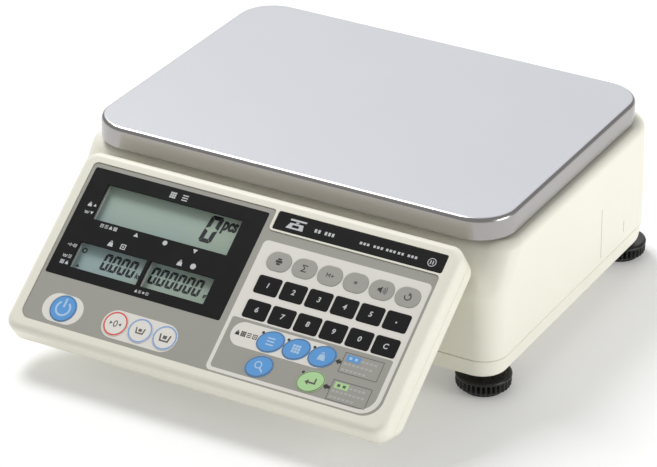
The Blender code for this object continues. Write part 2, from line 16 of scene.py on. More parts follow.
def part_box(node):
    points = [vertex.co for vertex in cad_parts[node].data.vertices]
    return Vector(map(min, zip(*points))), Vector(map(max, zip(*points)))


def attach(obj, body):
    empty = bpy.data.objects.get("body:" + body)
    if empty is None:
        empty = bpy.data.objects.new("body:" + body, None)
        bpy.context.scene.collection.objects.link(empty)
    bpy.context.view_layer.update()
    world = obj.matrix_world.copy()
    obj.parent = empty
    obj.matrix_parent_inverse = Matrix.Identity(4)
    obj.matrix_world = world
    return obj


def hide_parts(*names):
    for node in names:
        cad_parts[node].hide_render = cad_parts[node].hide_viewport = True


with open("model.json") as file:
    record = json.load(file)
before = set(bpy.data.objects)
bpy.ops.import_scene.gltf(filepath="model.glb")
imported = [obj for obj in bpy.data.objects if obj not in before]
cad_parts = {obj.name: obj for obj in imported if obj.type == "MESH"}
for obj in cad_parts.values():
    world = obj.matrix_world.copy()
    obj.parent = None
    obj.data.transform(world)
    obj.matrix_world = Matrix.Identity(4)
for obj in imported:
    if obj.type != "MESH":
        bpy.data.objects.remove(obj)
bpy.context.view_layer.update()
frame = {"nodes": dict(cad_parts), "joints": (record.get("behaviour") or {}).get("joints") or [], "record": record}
NODES = frame["nodes"]
MM = 0.001


def box_mm(node):
    low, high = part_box(node)
    return low / MM, high / MM


# ---- sizes -----------------------------------------------------------------
PAN_LOW, PAN_HIGH = box_mm("weighing_pan")
PAN_MIDDLE = (PAN_LOW + PAN_HIGH) / 2
PAN_CORNER = 27.0
PAN_EDGE = 3.0
PAN_SHEET = 1.0

CASE_LOW, CASE_HIGH = box_mm("upper_case")
TRAY_BOTTOM = box_mm("lower_case")[0].z
PARTING = CASE_LOW.z
CASE_TOP = CASE_HIGH.z
CASE_HALF = CASE_HIGH.x
CASE_FRONT = CASE_LOW.y
CASE_REAR = CASE_HIGH.y
CASE_DRAFT = 1.3
FRONT_BEND = 76.0
FRONT_LEAN = 21.0
FRONT_CORNER = 17.0
REAR_CORNER = 32.0
TOP_EDGE = 5.0
LOWER_TAPER = 1.5
WALL = 2.5
GAP = 0.4

COVER_LOW, COVER_HIGH = box_mm("side_cover")
HATCH_LOW, HATCH_HIGH = box_mm("battery_cover")
JACK_LOW, JACK_HIGH = box_mm("dc_jack")
JACK = (JACK_LOW + JACK_HIGH) / 2
OPENING = (20.0, 70.0, 38.0, 74.0)
DUCT = (20.0, 50.0, 66.0)
NOTCH = (37.5, 45.5)

RIBS = 34
KNOB_TOP = 12.2
STUD_RADIUS = 4.0
STUD_PITCH = 1.25

PRESS = next(Vector(j["axis"]) for j in frame["joints"] if j["name"] == "key_1_press")
TILT = math.atan2(PRESS.y, -PRESS.z)
CONSOLE_Y = -73.8
CONSOLE_Z = 110.0
CONSOLE_HALF = 137.1
CONSOLE_HIGH = 1.6
CONSOLE_LOW = -131.43
CONSOLE_CORNER = 10.0
CONSOLE_EDGE = 5.0
CONSOLE_PARTING = -13.5
CONSOLE_BACK = -25.0
CONSOLE_BACK_LOW = -124.0
RECESS = -2.5
SHELL_FLOOR = -5.0
FILM = -0.6
FILM_BACK = -2.2
WINDOW_FACE = FILM + 0.1
PLATE_FACE = -0.4
KEY_FACE = -0.2
LCD_FACE = -5.4
INK = 0.05

NECK_HALF = 60.0
NECK_LOW = 42.0
NECK_HIGH = 80.0

WINDOW = (-125.7, 3.1, -88.4, -10.2)
PLATE = (9.2, 128.3, -19.6, -7.0)
COUNT_OPENING = (-112.0, -12.0, -45.4, -19.7)
WEIGHT_OPENING = (-111.8, -61.7, -81.0, -62.4)
UNIT_OPENING = (-59.2, -12.2, -81.0, -62.4)
LIGHT_PANEL = (8.0, 126.5, -121.0, -28.0)
DARK_PANEL = (10.5, 123.2, -118.6, -82.7)
LABEL_PILL = (14.0, 84.0, -101.0, -84.5)
POWER_PILL = (-116.0, -87.0, -119.7, -99.8)
RING_PILL = (-71.8, -17.4, -119.4, -100.0)
INFO_BOXES = ((91.6, 118.4, -99.0, -85.4), (91.6, 118.4, -118.0, -104.2))

FACE = Matrix.Translation((0, CONSOLE_Y * MM, CONSOLE_Z * MM)) @ Matrix.Rotation(TILT, 4, "X")


# ---- materials -------------------------------------------------------------
def linear(srgb):
    """An sRGB colour, 0 to 255, as the shader's linear one."""
    found = []
    for value in srgb:
        value /= 255
        found.append(value / 12.92 if value <= 0.04045 else ((value + 0.055) / 1.055) ** 2.4)
    return (*found, 1.0)


class Nodes:
    """A material's node tree, with short calls to add to it."""

    def __init__(self, name):
        self.material = bpy.data.materials.new(name)
        self.material.use_nodes = True
        self.tree = self.material.node_tree
        self.shader = self.tree.nodes["Principled BSDF"]
        self.place = self.tree.nodes.new("ShaderNodeTexCoord").outputs["Object"]

    def add(self, kind, **inputs):
        node = self.tree.nodes.new(kind)
        for name, value in inputs.items():
            node.inputs[name.replace("_", " ")].default_value = value
        return node

    def link(self, output, node, name):
        self.tree.links.new(output, node.inputs[name])

    def stretched(self, scale):
        mapping = self.add("ShaderNodeMapping", Scale=scale)
        self.link(self.place, mapping, "Vector")
        return mapping.outputs["Vector"]

    def noise(self, scale, detail=3.0, stretch=None):
        node = self.add("ShaderNodeTexNoise", Scale=scale, Detail=detail)
        self.link(self.stretched(stretch) if stretch else self.place, node, "Vector")
        return node.outputs["Fac"]

    def spread(self, value, low, high):
        """A texture's middle range spread over low to high."""
        node = self.add("ShaderNodeMapRange", From_Min=0.3, From_Max=0.7, To_Min=low, To_Max=high)
        self.link(value, node, "Value")
        return node.outputs["Result"]

    def colours(self, value, *pair):
        """The base colour, from one colour to another over a texture's middle range."""
        ramp = self.add("ShaderNodeValToRGB")
        for stop, place, colour in zip(ramp.color_ramp.elements, (0.3, 0.7), pair):
            stop.position = place
            stop.color = colour
        self.link(value, ramp, "Fac")
        self.link(ramp.outputs["Color"], self.shader, "Base Color")

    def bump(self, value, strength, distance):
        node = self.add("ShaderNodeBump", Strength=strength, Distance=distance)
        self.link(value, node, "Height")
        self.link(node.outputs["Normal"], self.shader, "Normal")


def shade(colour, factor):
    return (*[c * factor for c in colour[:3]], 1.0)


def plastic(name, srgb, roughness, mottle=0.02, grain=900.0, depth=0.00004, specular=0.5):
    """Moulded plastic or printed film: a faint mottle, a fine spark-eroded grain and uneven gloss."""
    nodes = Nodes(name)
    colour = linear(srgb)
    nodes.colours(nodes.noise(35.0), shade(colour, 1 - mottle), shade(colour, 1 + mottle))
    uneven = nodes.spread(nodes.noise(120.0), roughness - 0.04, roughness + 0.04)
    nodes.link(uneven, nodes.shader, "Roughness")
    nodes.bump(nodes.noise(grain, 4.0), 0.35, depth)
    nodes.shader.inputs["Specular IOR Level"].default_value = specular
    return nodes.material


def satin(name, srgb, mottle, roughness=0.40, specular=0.25):
    """The printed film and the keys, smoother than the shells."""
    return plastic(name, srgb, roughness, mottle, 1500.0, 0.00002, specular)


def printing_ink(name, srgb, roughness=0.50):
    return plastic(name, srgb, roughness)


def metal(name, srgb, roughness, brushed, scratch=0.3, uneven=0.05):
    """Sheet or machined metal. brushed stretches its fine scratches along one direction."""
    nodes = Nodes(name)
    colour = linear(srgb)
    nodes.colours(nodes.noise(14.0), shade(colour, 0.985), shade(colour, 1.0))
    fine = nodes.noise(60.0, 6.0, brushed)
    nodes.link(nodes.spread(fine, roughness - uneven, roughness + uneven), nodes.shader, "Roughness")
    nodes.bump(fine, scratch, 0.00001)
    nodes.shader.inputs["Metallic"].default_value = 1.0
    return nodes.material


def lcd_film():
    """A reflective display: grey-green, a little bluer in patches, over a fine dot pattern."""
    nodes = Nodes("lcd_film")
    nodes.colours(nodes.noise(12.0, 1.0), linear((170, 186, 166)), linear((160, 182, 182)))
    nodes.link(nodes.spread(nodes.noise(60.0), 0.32, 0.38), nodes.shader, "Roughness")
    nodes.shader.inputs["Specular IOR Level"].default_value = 0.25
    nodes.bump(nodes.noise(1500.0), 0.1, 0.00002)
    return nodes.material


def board_green():
    """Solder mask, lighter where copper runs under it in straight tracks."""
    nodes = Nodes("board_green")
    brick = nodes.add("ShaderNodeTexBrick", Scale=55.0, Mortar_Size=0.03)
    brick.inputs["Color1"].default_value = linear((26, 105, 66))
    brick.inputs["Color2"].default_value = linear((22, 96, 60))
    brick.inputs["Mortar"].default_value = linear((44, 130, 88))
    nodes.link(nodes.place, brick, "Vector")
    nodes.link(brick.outputs["Color"], nodes.shader, "Base Color")
    nodes.link(nodes.spread(nodes.noise(90.0), 0.30, 0.42), nodes.shader, "Roughness")
    nodes.bump(brick.outputs["Fac"], 0.3, 0.00005)
    return nodes.material


def vial_fluid():
    nodes = Nodes("vial_fluid")
    nodes.colours(nodes.noise(80.0), linear((190, 214, 70)), linear((206, 226, 96)))
    nodes.link(nodes.spread(nodes.noise(60.0), 0.05, 0.12), nodes.shader, "Roughness")
    nodes.shader.inputs["Coat Weight"].default_value = 1.0
    return nodes.material


STEEL = metal("pan_steel", (203, 205, 210), 0.30, (20.0, 3.0, 3.0), 0.006, 0.015)
# A darker, warmer copy of the pan's steel for its folded sides: painted shade and a painted reflection of the
# cream shells
RIM_STEEL_PAINTED_SHADE = metal("painted_shade_rim_steel", (172, 169, 168), 0.25, (20.0, 20.0, 3.0), 0.006, 0.015)
ZINC = metal("screw_zinc", (190, 190, 192), 0.35, (3.0, 3.0, 1.0))
CAST = metal("cast_aluminium", (188, 190, 192), 0.50, (1.0, 1.0, 1.0), 0.6)
CREAM = plastic("cream_plastic", (241, 239, 224), 0.42, 0.006, 1100.0, 0.00003, 0.35)
BLACK = plastic("black_plastic", (15, 15, 15), 0.30, 0.10, specular=0.45)
RUBBER = plastic("black_rubber", (26, 26, 26), 0.75, 0.10, 500.0, 0.0001, 0.25)
FILM_GREY = satin("film_grey", (166, 165, 157), 0.008)
FILM_LIGHT = satin("film_light", (235, 232, 224), 0.008)
FILM_BLACK = satin("film_black", (30, 30, 31), 0.04, 0.38, 0.10)
KEY_BLACK = satin("key_black", (30, 30, 31), 0.05, 0.38, 0.10)
KEY_GREY = satin("key_grey", (170, 168, 161), 0.01, 0.42)
KEY_BLUE = satin("key_blue", (98, 163, 226), 0.02)
KEY_GREEN = satin("key_green", (182, 224, 160), 0.02, specular=0.5)
KEY_LIGHT = satin("key_light", (236, 233, 226), 0.01)
INK_WHITE = printing_ink("ink_white", (200, 201, 203))
INK_PALE = printing_ink("ink_pale", (182, 182, 180))
INK_PALE_BLUE = printing_ink("ink_pale_blue", (176, 208, 238))
INK_DARK = printing_ink("ink_dark", (38, 36, 34))
INK_BROWN = printing_ink("ink_brown", (92, 90, 84))
INK_RED = printing_ink("ink_red", (226, 82, 74), 0.45)
INK_BLUE = printing_ink("ink_blue", (134, 172, 220), 0.45)
SEGMENT = plastic("lcd_segment", (17, 22, 30), 0.35, 0.03)
BEZEL = plastic("lcd_bezel", (196, 198, 190), 0.35, 0.01)
BATTERY = plastic("battery_case", (58, 58, 62), 0.50, 0.06)
LCD = lcd_film()
BOARD = board_green()
VIAL = vial_fluid()


# ---- outlines --------------------------------------------------------------
def arc(centre, radius, start, end, steps):
    """Points on a circle from angle start to end, both in degrees and both included."""
    angles = [math.radians(start + (end - start) * i / steps) for i in range(steps + 1)]
    return [(centre[0] + radius * math.cos(a), centre[1] + radius * math.sin(a)) for a in angles]


def rounded_box(left, right, low, high, radii, steps=8):
    """Anticlockwise outline of a box. radii is one number, or one each for low right, high right, high
    left and low left."""
    if not isinstance(radii, tuple):
        radii = (radii,) * 4
    corners = ((right, low, -90), (right, high, 0), (left, high, 90), (left, low, 180))
    outline = []
    for (x, y, start), radius in zip(corners, radii):
        centre = (x - math.copysign(radius, x - (left + right) / 2),
                  y - math.copysign(radius, y - (low + high) / 2))
        outline += arc(centre, radius, start, start + 90, steps)
    return outline


def ellipse(centre, size, lean, steps, grow=0.0):
    outline = []
    for i in range(steps):
        angle = 2 * math.pi * i / steps
        x = (size[0] / 2 + grow) * math.cos(angle)
        y = (size[1] / 2 + grow) * math.sin(angle)
        outline.append((centre[0] + x * math.cos(lean) - y * math.sin(lean),
                        centre[1] + x * math.sin(lean) + y * math.cos(lean)))
    return outline


def disc(x, y, radius, steps=24):
    return ellipse((x, y), (2 * radius, 2 * radius), 0.0, steps)


def ring(x, y, radius, width, steps=40):
    """Two outlines: filled together, they are a ring."""
    return [disc(x, y, radius, steps), disc(x, y, radius - width, steps)]


def bar(x, y, width, height):
    return [(x - width / 2, y - height / 2), (x + width / 2, y - height / 2),
            (x + width / 2, y + height / 2), (x - width / 2, y + height / 2)]


def stroke(points, width):
    """The outline of an open line with mitred corners."""
    sides = ([], [])
    for i, point in enumerate(points):
        here = Vector(point)
        before = (here - Vector(points[i - 1])).normalized() if i else None
        after = (Vector(points[i + 1]) - here).normalized() if i + 1 < len(points) else None
        before, after = before or after, after or before
        along = (before + after).normalized()
        normal = Vector((-along.y, along.x))
        reach = width / 2 / max(normal.dot(Vector((-after.y, after.x))), 0.4)
        sides[0].append(tuple(here - normal * reach))
        sides[1].append(tuple(here + normal * reach))
    return sides[0] + sides[1][::-1]


def moved(outlines, x, y, scale, slant=0.0):
    return [[(x + (px + slant * py) * scale, y + py * scale) for px, py in outline] for outline in outlines]


def at(outline, z):
    return [(x, y, z) for x, y in outline]


# ---- solids ----------------------------------------------------------------
def new_object(name, data, finish=None):
    obj = bpy.data.objects.new(name, data)
    bpy.context.scene.collection.objects.link(obj)
    if finish:
        data.materials.append(finish)
    return obj


def smooth(obj, angle=40):
    """Smooth shading over the round stretches, with the flat faces kept flat."""
    obj.data.shade_smooth()
    obj.data.set_sharp_from_angle(angle=math.radians(angle))
    weights = obj.modifiers.new("Flat faces", "WEIGHTED_NORMAL")
    weights.keep_sharp = True
    return obj


def loft(name, loops, finish=None):
    """A solid through loops of equal length, with a cap on the first and last."""
    mesh = bmesh.new()
    rings = [[mesh.verts.new(Vector(point) * MM) for point in loop] for loop in loops]
    count = len(rings[0])
    for upper, lower in zip(rings, rings[1:]):
        for i in range(count):
            j = (i + 1) % count
            mesh.faces.new((upper[i], lower[i], lower[j], upper[j]))
    mesh.faces.new(rings[0])
    mesh.faces.new(list(reversed(rings[-1])))
    bmesh.ops.recalc_face_normals(mesh, faces=mesh.faces)
    data = bpy.data.meshes.new(name)
    mesh.to_mesh(data)
    mesh.free()
    return smooth(new_object(name, data, finish))


def prism(name, outline, low, high):
    return loft(name, [at(outline, high), at(outline, low)])


def block(name, low, high):
    return prism(name, rounded_box(low[0], high[0], low[1], high[1], 0.01, 1), low[2], high[2])


def turned(name, profile, place, finish=None, steps=48):
    """A solid of revolution about +Z. The profile, of radii and heights, runs from top to bottom."""
    loops = [at(disc(0, 0, radius, steps), z) for radius, z in profile]
    obj = loft(name, loops, finish)
    obj.location = Vector(place) * MM
    return obj


def plate(name, outline, low, high, edge, finish, steps=4):
    """A plate with a rounded upper edge. outline is a function of how much it grows."""
    loops = []
    for x, y in arc((edge, -edge), edge, 90, 180, steps):
        loops.append(at(outline(-x), high + y))
    loops.append(at(outline(0), low))
    return loft(name, loops, finish)


def film(name, outlines, low, high, finish):
    """A flat sheet: an outline inside another is a hole in it."""
    curve = bpy.data.curves.new(name, "CURVE")
    curve.dimensions = "2D"
    curve.fill_mode = "BOTH"
    curve.extrude = (high - low) / 2 * MM
    for outline in outlines:
        spline = curve.splines.new("POLY")
        spline.points.add(len(outline) - 1)
        for point, (x, y) in zip(spline.points, outline):
            point.co = (x * MM, y * MM, 0, 1)
        spline.use_cyclic_u = True
        spline.use_smooth = False
    obj = new_object(name, curve, finish)
    obj.location = (0, 0, (low + high) / 2 * MM)
    return as_mesh(obj)


def lettering(name, text, x, y, size, level, finish, slant, weight, narrow=1.0):
    """Digits and units, centred on x and y, on the given level. weight thickens them, in heights."""
    curve = bpy.data.curves.new(name, "FONT")
    curve.body = text
    curve.shear = slant
    curve.offset = weight
    curve.align_x = "CENTER"
    curve.align_y = "CENTER"
    curve.extrude = INK / 2 / size
    obj = new_object(name, curve, finish)
    obj.scale = (size * narrow * MM, size * MM, size * MM)
    obj.location = (x * MM, y * MM, (level + INK / 2) * MM)
    return as_mesh(obj)


def as_mesh(obj):
    """The object with its modifiers applied, and its place kept in its vertices."""
    bpy.context.view_layer.update()
    shape = obj.evaluated_get(bpy.context.evaluated_depsgraph_get())
    data = bpy.data.meshes.new_from_object(shape)
    data.transform(obj.matrix_world)
    name = obj.name
    bpy.data.objects.remove(obj)
    data.name = name
    return new_object(name, data)


def joined(name, pieces):
    """One object from several meshes, which keep their materials."""
    mesh = bmesh.new()
    finishes = []
    for piece in pieces:
        piece = as_mesh(piece)
        for finish in piece.data.materials:
            if finish not in finishes:
                finishes.append(finish)
        start = len(mesh.faces)
        mesh.from_mesh(piece.data)
        mesh.faces.ensure_lookup_table()
        for face in mesh.faces[start:]:
            face.material_index = finishes.index(piece.data.materials[face.material_index])
        bpy.data.objects.remove(piece)
    data = bpy.data.meshes.new(name)
    mesh.to_mesh(data)
    mesh.free()
    for finish in finishes:
        data.materials.append(finish)
    return new_object(name, data)


def carved(obj, cutters, unions=()):
    """The object less its cutters and with its unions, as one smooth mesh."""
    name = obj.name
    obj.modifiers.clear()
    for other, operation in [(o, "UNION") for o in unions] + [(o, "DIFFERENCE") for o in cutters]:
        other.modifiers.clear()
        change = obj.modifiers.new(other.name, "BOOLEAN")
        change.object = other
        change.operation = operation
        change.solver = "EXACT"
    made = as_mesh(obj)
    for other in (*unions, *cutters):
        bpy.data.objects.remove(other)
    made.name = name
    return smooth(made, 30)


def shown(obj, slot, *nodes, body="base"):
    """Rides on a body and stands for CAD nodes. The slot is not used."""
    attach(obj, body)
    if nodes:
        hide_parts(*nodes)


def on_face(obj, slot, *nodes, body="base"):
    """Moves a mesh drawn in the console's axes to its place, and shows it there."""
    obj.data.transform(FACE @ obj.matrix_world)
    obj.matrix_world = Matrix.Identity(4)
    shown(obj, slot, *nodes, body=body)


def footprint(node):
    """A round part's middle seen from above, its radius and its box."""
    low, high = box_mm(node)
    return ((low.x + high.x) / 2, (low.y + high.y) / 2, 0), (high.x - low.x) / 2, low, high


def keep(node, finish):
    """A CAD node whose shape is right, with a better material."""
    NODES[node].data.materials.clear()
    NODES[node].data.materials.append(finish)


# ---- pan and what carries it -----------------------------------------------
def pan_outline(inset):
    return rounded_box(PAN_LOW.x + inset, PAN_HIGH.x - inset, PAN_LOW.y + inset, PAN_HIGH.y - inset,
                       PAN_CORNER - inset, 16)


def weighing_pan():
    """Sheet folded down all round, with a small return at the rim's lower edge."""
    loops = []
    for x, y in arc((PAN_EDGE, -PAN_EDGE), PAN_EDGE, 90, 180, 8):
        loops.append(at(pan_outline(x), PAN_HIGH.z + y))
    bottom = PAN_LOW.z
    loops += [at(pan_outline(0), bottom + 0.3), at(pan_outline(0.3), bottom)]
    loops += [at(pan_outline(PAN_SHEET - 0.2), bottom), at(pan_outline(PAN_SHEET), bottom + 0.3)]
    for x, y in arc((PAN_EDGE, -PAN_EDGE), PAN_EDGE - PAN_SHEET, 180, 90, 5):
        loops.append(at(pan_outline(x), PAN_HIGH.z + y))
    pan = loft("pan", loops, STEEL)
    # Faces that do not face up take the darker, warmer rim steel: painted shade and painted reflection on the
    # sides
    pan.data.materials.append(RIM_STEEL_PAINTED_SHADE)
    for face in pan.data.polygons:
        face.material_index = int(face.normal.z < 0.95)
    shown(pan, "stainless", "weighing_pan", body="pan")


def pan_carrier():
    """The cast support keeps its CAD shape; its screws and rubber cushions are drawn here."""
    keep("pan_support", CAST)
    top = box_mm("pan_support")[1].z
    for x in (34.0, 56.0):
        head = screw(f"support_screw_{x:.0f}", 4.5)
        head.location = Vector((x, PAN_MIDDLE.y, top)) * MM
        shown(head, "aluminium", body="support")
    for end in ("front", "rear"):
        for side in ("left", "right"):
            node = f"pan_cushion_{end}_{side}"
            place, radius, low, high = footprint(node)
            profile = [(radius - 4, high.z), (radius - 3.2, high.z - 0.1)]
            profile += [(radius - 2 + x, high.z - 2 + y) for x, y in arc((0, 0), 2, 80, 0, 5)]
            profile += [(radius, low.z + 1.0), (radius, low.z)]
            shown(turned(f"cushion_{end}_{side}", profile, place, RUBBER), "rubber", node, body="support")


def screw(name, radius):
    """A domed cross-head screw, pointing up, with its seat at the origin."""
    dome = [(radius * 0.55, radius * 0.5)]
    dome += [(radius * (0.55 + 0.45 * math.cos(a)), radius * (0.22 + 0.28 * math.sin(a)))
             for a in (1.2, 0.8, 0.4, 0.0)]
    dome.append((radius, 0.0))
    head = turned(name, dome, (0, 0, 0), ZINC, 32)
    slots = []
    for turn in (0, 90):
        slot = block(f"{name}_slot_{turn}", (-radius * 0.55, -radius * 0.1, radius * 0.15),
                     (radius * 0.55, radius * 0.1, radius))
        slot.rotation_euler.z = math.radians(turn)
        slots.append(slot)
    return carved(head, slots)


def inner_parts():
    keep("load_cell", metal("machined_aluminium", (200, 202, 205), 0.32, (14.0, 1.0, 1.0)))
    keep("base_frame", CAST)
    keep("battery", BATTERY)
    keep("main_board", BOARD)
    keep("display_board", BOARD)


# ---- base ------------------------------------------------------------------
def case_front(z):
    """Where the front wall is at height z: upright up to the bend, then leaning back."""
    bend_half = 4.0
    above = z - FRONT_BEND
    slope = FRONT_LEAN / (CASE_TOP - FRONT_BEND)
    if above <= -bend_half:
        lean = 0.0
    elif above < bend_half:
        lean = slope * (above + bend_half) ** 2 / (4 * bend_half)
    else:
        lean = slope * above
    return CASE_FRONT + lean


def case_outline(z, inset):
    if z >= PARTING:
        taper = CASE_DRAFT * (z - PARTING) / (CASE_TOP - PARTING)
    else:
        taper = LOWER_TAPER * (PARTING - z) / (PARTING - TRAY_BOTTOM)
    half = CASE_HALF - taper - inset
    front_corner = max(FRONT_CORNER - inset, 1.0)
    rear_corner = max(REAR_CORNER - inset, 1.0)
    return rounded_box(-half, half, case_front(z) + taper + inset, CASE_REAR - taper - inset,
                       (front_corner, rear_corner, rear_corner, front_corner), 14)


def upper_case():
    loops = []
    for x, y in arc((TOP_EDGE, -TOP_EDGE), TOP_EDGE, 90, 180, 8):
        loops.append(at(case_outline(CASE_TOP + y, x), CASE_TOP + y))
    for step in range(8, -9, -2):
        loops.append(at(case_outline(FRONT_BEND + step / 2, 0), FRONT_BEND + step / 2))
    loops += [at(case_outline(PARTING + 0.5, 0), PARTING + 0.5), at(case_outline(PARTING, 0.45), PARTING)]
    for z in (PARTING, FRONT_BEND - 4, FRONT_BEND + 4, CASE_TOP - WALL):
        loops.append(at(case_outline(z, WALL), z))
    case = loft("case_upper", loops, CREAM)
    left, right, low, high = OPENING
    jack_room = Vector((7.3, 10.0, 5.8))
    rear = Vector((JACK.x, CASE_REAR, JACK.z))
    cutters = [
        prism("opening", rounded_box(left, right, low, high, 4.0), 90, 110),
        block("duct", (-DUCT[0], CASE_FRONT - 10, DUCT[1]), (DUCT[0], CASE_FRONT + 10, DUCT[2])),
        block("jack_hole", rear - jack_room, rear + jack_room),
        turned("level_hole", ((7.4, 110), (7.4, 95)), footprint("spirit_level")[0]),
        side_slab("side_hole", 0.0, 1.6, 10),
        side_slit("side_edge", COVER_LOW.y, COVER_LOW.z, COVER_HIGH.z),
        side_slit("side_notch", COVER_HIGH.y, *NOTCH),
    ]
    shown(carved(case, cutters), "cream_plastic", "upper_case")


def side_slab(name, grow, deep, proud):
    """A slab along the right wall, which leans in with it."""
    loops = []
    for z in (COVER_HIGH.z + grow, COVER_LOW.z - grow):
        x = CASE_HALF - CASE_DRAFT * (z - PARTING) / (CASE_TOP - PARTING)
        loops.append([(x - deep, COVER_LOW.y - grow, z), (x + proud, COVER_LOW.y - grow, z),
                      (x + proud, COVER_HIGH.y + grow, z), (x - deep, COVER_HIGH.y + grow, z)])
    return loft(name, loops)


def side_slit(name, y, low, high):
    """A groove across one of the cover's upright edges."""
    x = CASE_HALF - CASE_DRAFT * (COVER_HIGH.z - PARTING) / (CASE_TOP - PARTING)
    return block(name, (x - 1.0, y - 0.35, low), (x + 5, y + 0.35, high))


def side_cover():
    """A snap-in cover, flush with the wall: its top and bottom edges close up tight."""
    cover = side_slab("cover_side", -0.06, 1.3, 0.0)
    cover.data.materials.append(CREAM)
    cutters = [side_slit("cover_edge", COVER_LOW.y, COVER_LOW.z, COVER_HIGH.z),
               side_slit("cover_notch", COVER_HIGH.y, *NOTCH)]
    shown(carved(cover, cutters), "cream_plastic", "side_cover")


def lower_case():
    top = PARTING - GAP
    floor = TRAY_BOTTOM + WALL
    loops = [at(case_outline(floor, WALL), floor), at(case_outline(top, WALL), top)]
    loops += [at(case_outline(top, 0.45), top), at(case_outline(top - 0.5, 0), top - 0.5)]
    edge = 2.0
    for x, y in arc((edge, edge), edge, 180, 270, 5):
        z = TRAY_BOTTOM + y
        loops.append(at(case_outline(z, x), z))
    case = loft("case_lower", loops, CREAM)
    unions, cutters = [], []
    for name, place in foot_places():
        unions.append(turned(f"boss_{name}", ((7.5, 29.0), (7.5, TRAY_BOTTOM + 1)), place))
        cutters.append(turned(f"hole_{name}", ((4.3, 45), (4.3, 5)), place))
    cutters.append(prism("hatch_hole", hatch_outline(0.4), 10, 24.5))
    seat = TRAY_BOTTOM + 1.6
    for i, (x, y) in enumerate(case_screws()):
        cutters.append(turned(f"screw_well_{i}", ((4.2, seat), (4.6, TRAY_BOTTOM - 2)), (x, y, 0)))
    shown(carved(case, cutters, unions), "cream_plastic", "lower_case")
    for i, (x, y) in enumerate(case_screws()):
        head = screw(f"case_screw_{i}", 3.0)
        head.rotation_euler.x = math.pi
        head.location = Vector((x, y, seat)) * MM
        shown(head, "aluminium")


def case_screws():
    return [(x, y) for x in (-146.0, 0.0, 146.0) for y in (-20.0, 130.0)]


def hatch_outline(grow):
    return rounded_box(HATCH_LOW.x - grow, HATCH_HIGH.x + grow, HATCH_LOW.y - grow, HATCH_HIGH.y + grow,
                       3.6 + grow)


def hatch():
    """The battery's cover, with finger grooves at its free end."""
    middle = (HATCH_LOW.x + HATCH_HIGH.x) / 2
    grooves = []
    for i in range(4):
        y = HATCH_LOW.y + 6 + 3 * i
        low = (middle - 10, y, HATCH_LOW.z - 1)
        grooves.append(block(f"groove_{i}", low, (middle + 10, y + 1.4, HATCH_LOW.z + 0.8)))
    loops = [at(hatch_outline(0), HATCH_HIGH.z), at(hatch_outline(0), HATCH_LOW.z + 0.4)]
    loops.append(at(hatch_outline(-0.4), HATCH_LOW.z))
    cover = loft("cover_battery", loops, CREAM)
    shown(carved(cover, grooves), "cream_plastic", "battery_cover")


def rear_socket():
    keep("dc_jack", BLACK)
    root = (JACK.x, JACK_HIGH.y - 8.3, JACK.z)
    pin = turned("jack_contact", ((0.5, 6), (0.9, 5.4), (0.9, 0)), root, ZINC, 20)
    pin.rotation_euler.x = math.radians(-90)
    collar = joined("jack_collar", [film("jack_collar_ring", ring(0, 0, 5.2, 1.7), 0, 0.35, BLACK)])
    collar.rotation_euler.x = math.radians(-90)
    collar.location = Vector((JACK.x, JACK_HIGH.y, JACK.z)) * MM
    shown(collar, "black_plastic")
    shown(pin, "aluminium")


def bubble_level():
    place, radius, low, high = footprint("spirit_level")
    top = high.z
    profile = [(radius - 1.6, top - 0.8), (radius - 1.5, top), (radius - 0.4, top), (radius, top - 0.4),
               (radius, low.z)]
    shown(turned("level_body", profile, place, BLACK), "black_plastic", "spirit_level")
    fluid = [(radius * 0.3, top - 0.1), (radius * 0.55, top - 0.25), (radius - 1.7, top - 0.6),
             (radius - 1.7, top - 0.78)]
    shown(turned("level_fluid", fluid, place, VIAL), "level_glass")
    marks = film("level_rings", ring(place[0], place[1], 2.4, 0.25), top - 0.22, top - 0.12, INK_DARK)
    shown(marks, "black_plastic")
    bubble = [(0.4, top + 0.05), (1.3, top), (1.8, top - 0.12), (1.9, top - 0.3)]
    shown(turned("level_bubble", bubble, (place[0] + 0.3, place[1], 0), INK_PALE), "level_glass")


# ---- feet ------------------------------------------------------------------
def foot_places():
    for end in ("front", "rear"):
        for side in ("left", "right"):
            yield f"{end}_{side}", footprint(f"foot_pad_{end}_{side}")[0]


def rib_depth(angle):
    """How far the grip is cut back at an angle: rounded ribs with narrow valleys."""
    phase = (angle * RIBS / (2 * math.pi)) % 1
    return 1.7 * abs(math.cos(math.pi * phase)) ** 3


